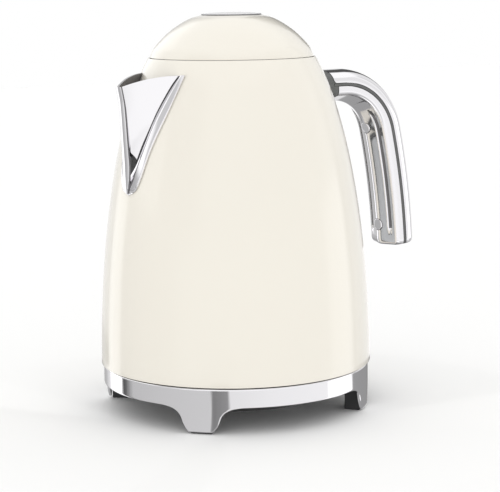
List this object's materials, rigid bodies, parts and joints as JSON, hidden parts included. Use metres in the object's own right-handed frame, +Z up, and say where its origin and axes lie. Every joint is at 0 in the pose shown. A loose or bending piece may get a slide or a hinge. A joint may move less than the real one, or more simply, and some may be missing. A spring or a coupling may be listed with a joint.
{
  "type": "electric kettle",
  "caption": "Cordless electric kettle: tapered enamelled jug with a domed push-to-open lid, V-shaped spout and open C-handle, standing on a round power base with feet.",
  "frame": {"origin": "on the floor, under the middle of the outer box; the jug's own axis stands 27.5 mm towards the spout from it", "axes": "+Z up, +X from the spout towards the handle, +Y to the left of someone who looks from the spout to the handle"},
  "size_m": [0.226, 0.171, 0.248],
  "materials": {
    "enamel": "high-gloss cream enamel",
    "chrome": "polished chrome plate",
    "steel": "brushed stainless steel",
    "grey_plastic": "satin dark grey plastic",
    "black_plastic": "fine-textured black plastic",
    "rubber": "matt rubber",
    "silicone": "matt translucent silicone",
    "brass": "plain brass",
    "clear_plastic": "clear moulded plastic"
  },
  "bodies": {
    "base": {"base_skirt": "chrome", "base_core": "black_plastic", "base_connector_hub": "black_plastic", "centre_contact": "brass", "ring_contact": "brass", "cord_spool": "black_plastic", "base_bottom_cover": "black_plastic", "cord_gland": "rubber", "base_screw_1": "steel", "base_screw_2": "steel", "base_screw_3": "steel", "rubber_foot_handle_left": "rubber", "rubber_foot_spout_left": "rubber", "rubber_foot_spout_right": "rubber", "rubber_foot_handle_right": "rubber"},
    "connector": {"jug_connector": "black_plastic"},
    "jug": {"body_shell": "enamel", "inner_vessel": "steel", "heating_plate": "steel", "heating_element": "steel", "control_unit": "black_plastic", "jug_bottom_cover": "black_plastic", "neck_ring": "grey_plastic", "gauge_window": "clear_plastic", "gauge_bezel": "grey_plastic", "spout_flange": "chrome", "spout_beak": "chrome", "spout_seal": "silicone", "handle_collar": "grey_plastic", "handle_outer_shell": "chrome", "handle_strip": "grey_plastic", "handle_inner_shell": "chrome", "handle_screw_upper": "steel", "handle_cap_upper": "chrome", "handle_screw_lower": "steel", "handle_cap_lower": "chrome", "handle_bracket": "steel", "handle_root_screw_1": "steel", "handle_root_screw_2": "steel", "switch_frame": "black_plastic", "lever_pin": "steel", "lever_bezel": "chrome", "lid_hinge_pin": "steel", "lid_hinge_spring": "steel"},
    "switch_lever": {"power_lever": "chrome", "lever_knob": "chrome"},
    "lid": {"lid_dome": "enamel", "lid_liner": "steel", "lid_seal": "silicone", "lid_hinge_bracket": "grey_plastic", "button_guide": "grey_plastic", "button_spring": "steel"},
    "open_button": {"lid_button": "chrome"},
    "latch": {"lid_latch": "grey_plastic"},
    "filter": {"filter_frame": "grey_plastic", "filter_mesh": "steel"}
  },
  "joints": [
    {"name": "jug_lift", "type": "slide", "parent": "base", "child": "connector", "axis": [0, 0, 1], "range_m": [0, 0.1]},
    {"name": "jug_swivel", "type": "hinge", "parent": "connector", "child": "jug", "pos_m": [-0.0275, 0, 0.03], "axis": [0, 0, 1], "continuous": true},
    {"name": "lid_open", "type": "hinge", "parent": "jug", "child": "lid", "pos_m": [0.022, 0, 0.213], "axis": [0, 1, 0], "range_deg": [0, 75]},
    {"name": "button_press", "type": "slide", "parent": "lid", "child": "open_button", "axis": [0, 0, -1], "range_m": [0, 0.003], "stiffness_N_per_m": 400, "springref_m": -0.004, "deforming": ["button_spring"]},
    {"name": "latch_draw", "type": "slide", "parent": "lid", "child": "latch", "axis": [1, 0, 0], "range_m": [0, 0.003]},
    {"name": "power_switch", "type": "hinge", "parent": "jug", "child": "switch_lever", "pos_m": [0.0475, 0, 0.037], "axis": [0, 1, 0], "range_deg": [0, 14], "stiffness_Nm_per_rad": 0.2, "springref_deg": -8.59},
    {"name": "filter_pull", "type": "slide", "parent": "jug", "child": "filter", "axis": [1, 0, 0], "range_m": [0, 0.03]}
  ],
  "couplings": [
    {"joint": "latch_draw", "follows": "button_press", "ratio": 1}
  ]
}
